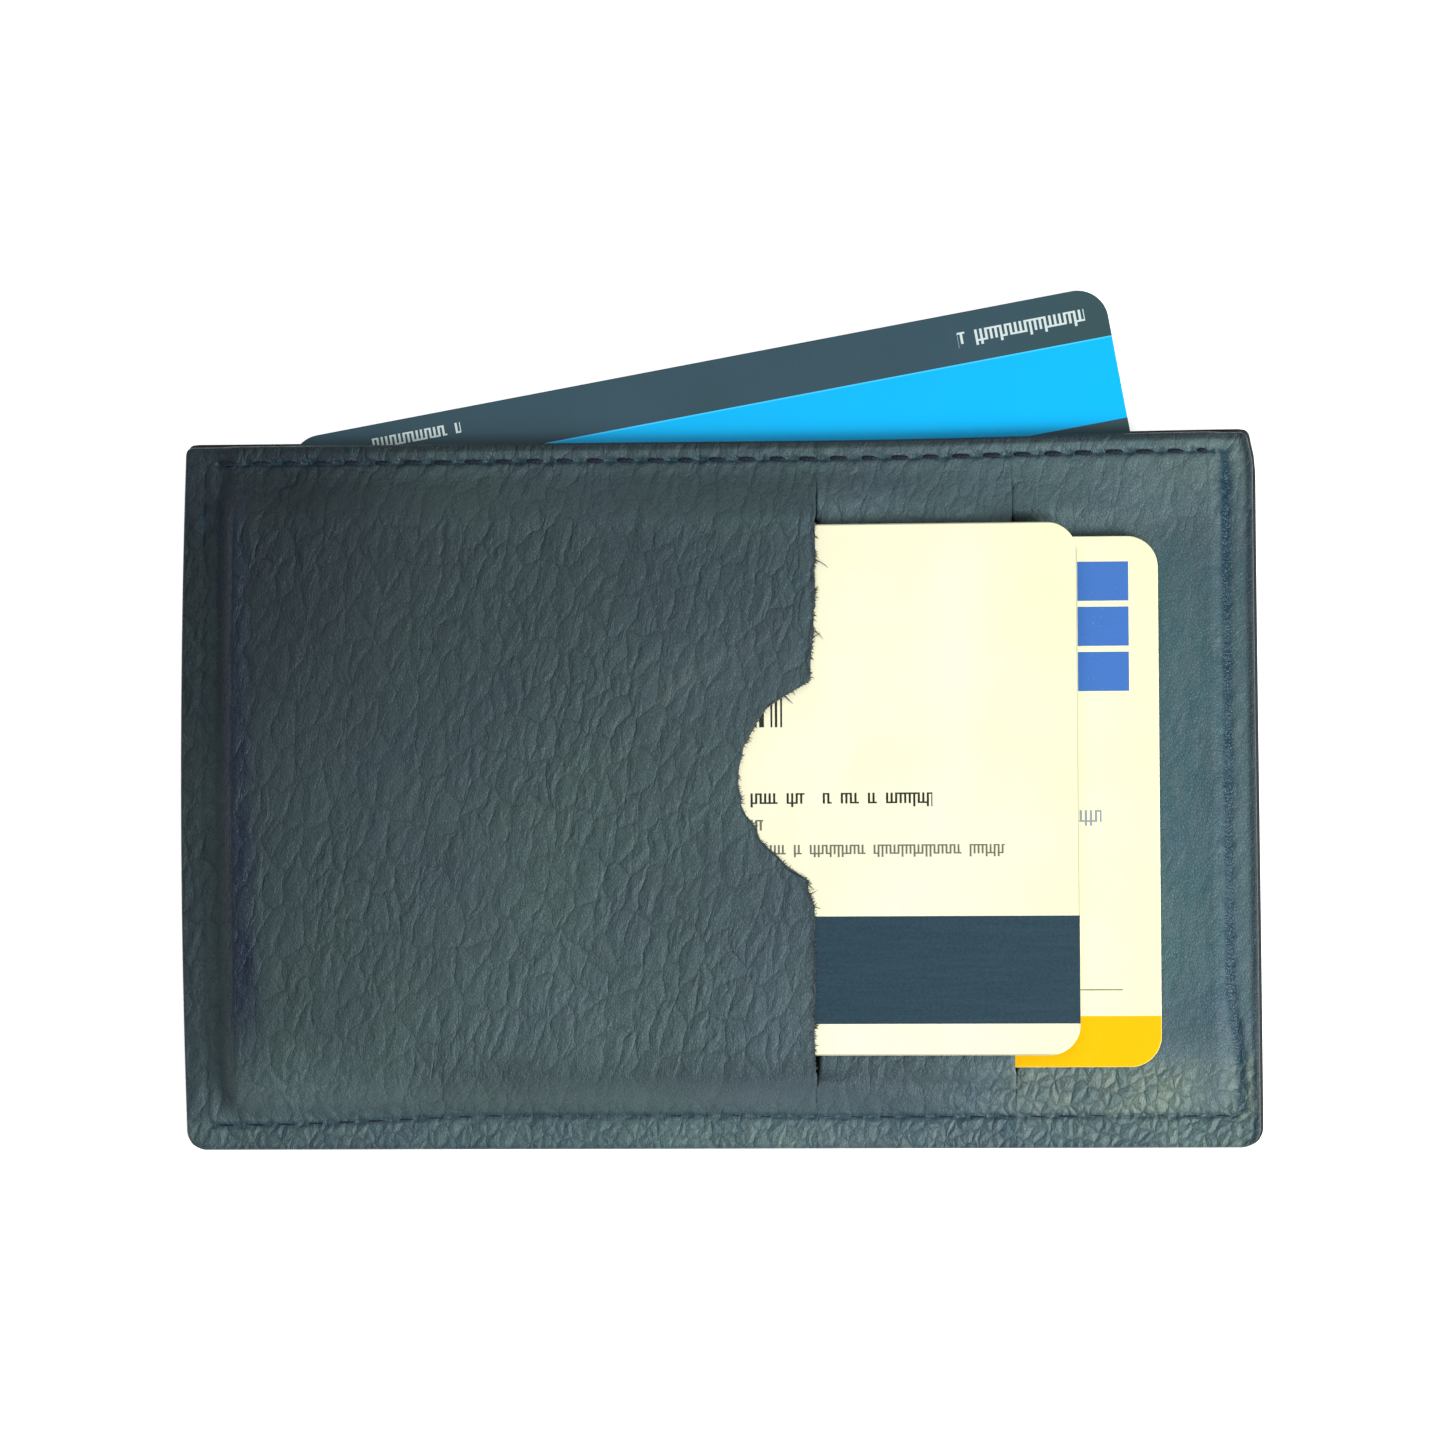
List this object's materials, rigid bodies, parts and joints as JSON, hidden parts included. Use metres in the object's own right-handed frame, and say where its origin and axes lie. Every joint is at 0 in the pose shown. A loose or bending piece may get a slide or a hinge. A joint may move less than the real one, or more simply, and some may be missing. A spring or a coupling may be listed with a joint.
{
  "type": "card holder",
  "caption": "Slim pebbled leather card holder with two slit pockets on its front, a thumb notch, a slot open along the top edge, and cards that slide in each pocket.",
  "frame": {"origin": "centre of the rear panel's flat back face", "axes": "+X along the long side towards the slits, +Y towards the open top edge, +Z out of the front"},
  "size_m": [0.11, 0.0877, 0.0068],
  "materials": {
    "outer_leather": "pebbled grain, dark slate blue-green, semi-matte, raw dark cut edges",
    "lining_cloth": "thin dark woven lining",
    "pocket_cloth": "thin dark woven pocket backing",
    "thread": "dark navy twisted thread",
    "cream_card": "smooth cream card stock with a satin coat",
    "magnetic_stripe": "dark slate magnetic stripe, fine speckle",
    "white_card": "glossy off-white card with a yellow band and plain blue blocks",
    "slate_card": "satin slate card with a bright blue band"
  },
  "bodies": {
    "holder": {"rear_panel": "outer_leather", "rear_lining": "lining_cloth", "front_lining": "lining_cloth", "inner_pocket_backing": "pocket_cloth", "outer_pocket_backing": "pocket_cloth", "front_panel": "outer_leather", "seam_needle_thread": "thread", "seam_bobbin_thread": "thread", "front_mouth_thread": "thread", "rear_mouth_thread": "thread"},
    "front_card": {"front_card": "cream_card", "front_card_stripe": "magnetic_stripe"},
    "second_card": {"second_card": "white_card"},
    "slot_card": {"slot_card": "slate_card"}
  },
  "joints": [
    {"name": "front_card_slide", "type": "slide", "parent": "holder", "child": "front_card", "axis": [0.9996, 0, 0.0272], "range_m": [0, 0.059]},
    {"name": "second_card_slide", "type": "slide", "parent": "holder", "child": "second_card", "axis": [0.9999, 0, 0.0116], "range_m": [-0.008, 0.071]},
    {"name": "slot_card_slide", "type": "slide", "parent": "holder", "child": "slot_card", "axis": [0, 1, 0], "range_m": [-0.013, 0.053]}
  ]
}
